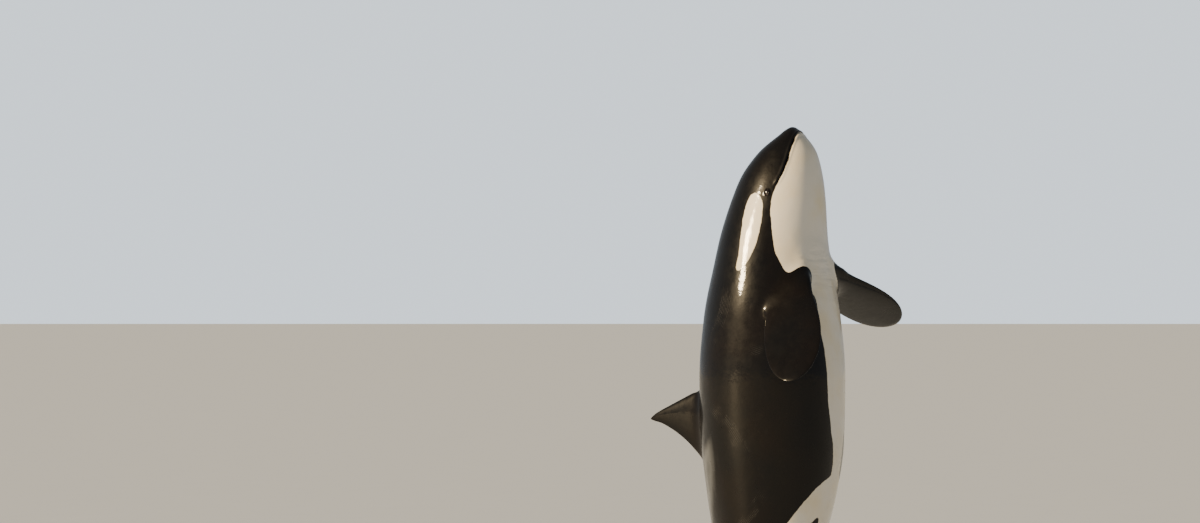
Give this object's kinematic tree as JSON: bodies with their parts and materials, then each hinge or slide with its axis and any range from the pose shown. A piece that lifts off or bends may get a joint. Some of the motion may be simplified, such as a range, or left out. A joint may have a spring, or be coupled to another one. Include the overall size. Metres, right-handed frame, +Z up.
{
  "type": "orca",
  "caption": "Life-size still orca, upright in a leap with flippers spread and tail swung back, held over a round base by short rods under the tail stock.",
  "frame": {"origin": "centre of the underside of the stand's round base, at the middle of the part's footprint", "axes": "+Z up, along the upright body toward the snout; -Y the belly's side; +Y the back's side; +X the animal's left"},
  "size_m": [2.7, 2.7, 6.25],
  "materials": {
    "skin": "wet black skin with white and grey fields",
    "skin_pale": "wet white skin",
    "eye": "polished dark brown eye",
    "stand_paint": "satin dark grey paint",
    "stand_steel": "brushed steel"
  },
  "bodies": {
    "root": {"head": "skin", "lower_jaw": "skin_pale", "eye_left": "eye", "eye_right": "eye", "chest": "skin", "trunk": "skin", "loin": "skin", "tail_stock": "skin", "dorsal_fin": "skin", "flipper_left": "skin", "flipper_right": "skin", "fluke_left": "skin", "fluke_right": "skin", "stand_base": "stand_paint", "stand_rod_front": "stand_steel", "stand_rod_back": "stand_steel"}
  },
  "joints": []
}
